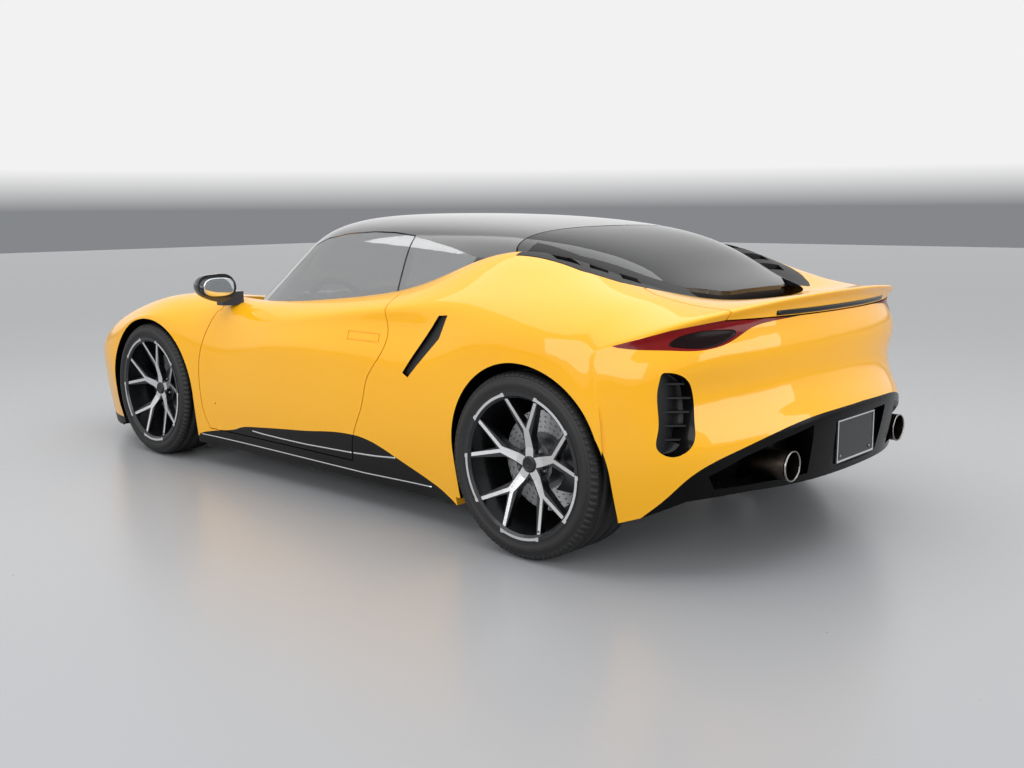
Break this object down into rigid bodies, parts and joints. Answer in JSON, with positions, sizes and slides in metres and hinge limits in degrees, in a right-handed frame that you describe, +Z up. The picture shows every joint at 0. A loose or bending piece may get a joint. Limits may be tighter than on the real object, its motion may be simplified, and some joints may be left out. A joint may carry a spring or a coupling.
{
  "type": "coupe car",
  "caption": "Low mid-engined coupe car with opening doors, bonnet and tailgate, steered front wheels and rolling wheels.",
  "frame": {"origin": "on the ground in the middle of the car's length and width", "axes": "+X forward, +Y to the car's left, +Z up"},
  "size_m": [4.4138, 2.0076, 1.2278],
  "materials": {
    "yellow_paint": "warm yellow gloss paint",
    "black_paint": "gloss black paint",
    "black_plastic": "gloss black moulding",
    "structure": "dark coated aluminium tub",
    "clear_glass": "tinted safety glass",
    "dark_glass": "dark tinted glass",
    "lamp_clear": "clear lamp cover",
    "lamp_red": "red lamp lens",
    "plate_black": "blank black plate",
    "exhaust_steel": "dark brushed steel",
    "iron": "dark cast metal",
    "caliper_black": "satin black caliper",
    "seat_leather": "black leather",
    "trim_plastic": "soft dark trim",
    "tyre_rubber": "black tyre rubber",
    "rim_alloy": "diamond turned alloy with dark sides",
    "disc_iron": "machined ventilated disc"
  },
  "bodies": {
    "root": {"tub": "structure", "front_body": "yellow_paint", "headlights": "lamp_clear", "front_grille": "black_plastic", "front_splitter": "black_plastic", "quarter_left": "yellow_paint", "quarter_right": "yellow_paint", "rear_bumper": "yellow_paint", "rear_diffuser": "black_plastic", "taillights": "lamp_red", "light_bar": "black_plastic", "rear_vents": "black_plastic", "side_intakes": "black_plastic", "rear_plate": "plate_black", "exhaust_tips": "exhaust_steel", "side_sills": "black_plastic", "wheel_liners": "black_plastic", "roof": "black_paint", "windscreen": "clear_glass", "quarter_glass": "clear_glass", "front_arms": "iron", "rear_arms": "iron", "rear_uprights": "iron", "rear_calipers": "caliper_black", "seat_left": "seat_leather", "seat_right": "seat_leather", "dashboard": "trim_plastic", "steering_wheel": "trim_plastic", "console": "trim_plastic", "engine": "iron"},
    "bonnet": {"bonnet": "yellow_paint"},
    "tailgate": {"tailgate_deck": "yellow_paint", "tailgate_glass": "dark_glass", "tailgate_strips": "black_paint"},
    "door_left": {"door_left": "yellow_paint", "door_glass_left": "clear_glass", "mirror_left": "black_paint"},
    "steered_hub_left": {"knuckle_left": "iron", "caliper_front_left": "caliper_black"},
    "wheel_front_left": {"tyre_front_left": "tyre_rubber", "rim_front_left": "rim_alloy", "brake_disc_front_left": "disc_iron"},
    "wheel_rear_left": {"tyre_rear_left": "tyre_rubber", "rim_rear_left": "rim_alloy", "brake_disc_rear_left": "disc_iron"},
    "door_right": {"door_right": "yellow_paint", "door_glass_right": "clear_glass", "mirror_right": "black_paint"},
    "steered_hub_right": {"knuckle_right": "iron", "caliper_front_right": "caliper_black"},
    "wheel_front_right": {"tyre_front_right": "tyre_rubber", "rim_front_right": "rim_alloy", "brake_disc_front_right": "disc_iron"},
    "wheel_rear_right": {"tyre_rear_right": "tyre_rubber", "rim_rear_right": "rim_alloy", "brake_disc_rear_right": "disc_iron"}
  },
  "joints": [
    {"name": "door_left_hinge", "type": "hinge", "parent": "root", "child": "door_left", "pos_m": [0.662, 0.848, 0.4], "axis": [0, 0, -1], "range_deg": [0, 65]},
    {"name": "door_right_hinge", "type": "hinge", "parent": "root", "child": "door_right", "pos_m": [0.662, -0.848, 0.4], "axis": [0, 0, 1], "range_deg": [0, 65]},
    {"name": "bonnet_hinge", "type": "hinge", "parent": "root", "child": "bonnet", "pos_m": [0.925, 0, 0.806], "axis": [0, -1, 0], "range_deg": [0, 50]},
    {"name": "tailgate_hinge", "type": "hinge", "parent": "root", "child": "tailgate", "pos_m": [-1.112, 0, 1.12], "axis": [0, 1, 0], "range_deg": [0, 60]},
    {"name": "steer_left", "type": "hinge", "parent": "root", "child": "steered_hub_left", "pos_m": [1.2135, 0.707, 0.34], "axis": [0, 0, 1], "range_deg": [-33, 33]},
    {"name": "steer_right", "type": "hinge", "parent": "root", "child": "steered_hub_right", "pos_m": [1.2135, -0.707, 0.34], "axis": [0, 0, 1], "range_deg": [-33, 33]},
    {"name": "spin_front_left", "type": "hinge", "parent": "steered_hub_left", "child": "wheel_front_left", "pos_m": [1.2135, 0.8, 0.34], "axis": [0, 1, 0], "continuous": true},
    {"name": "spin_rear_left", "type": "hinge", "parent": "root", "child": "wheel_rear_left", "pos_m": [-1.3615, 0.79, 0.3425], "axis": [0, 1, 0], "continuous": true},
    {"name": "spin_front_right", "type": "hinge", "parent": "steered_hub_right", "child": "wheel_front_right", "pos_m": [1.2135, -0.8, 0.34], "axis": [0, 1, 0], "continuous": true},
    {"name": "spin_rear_right", "type": "hinge", "parent": "root", "child": "wheel_rear_right", "pos_m": [-1.3615, -0.79, 0.3425], "axis": [0, 1, 0], "continuous": true}
  ],
  "couplings": [
    {"joint": "steer_right", "follows": "steer_left", "ratio": 1}
  ]
}
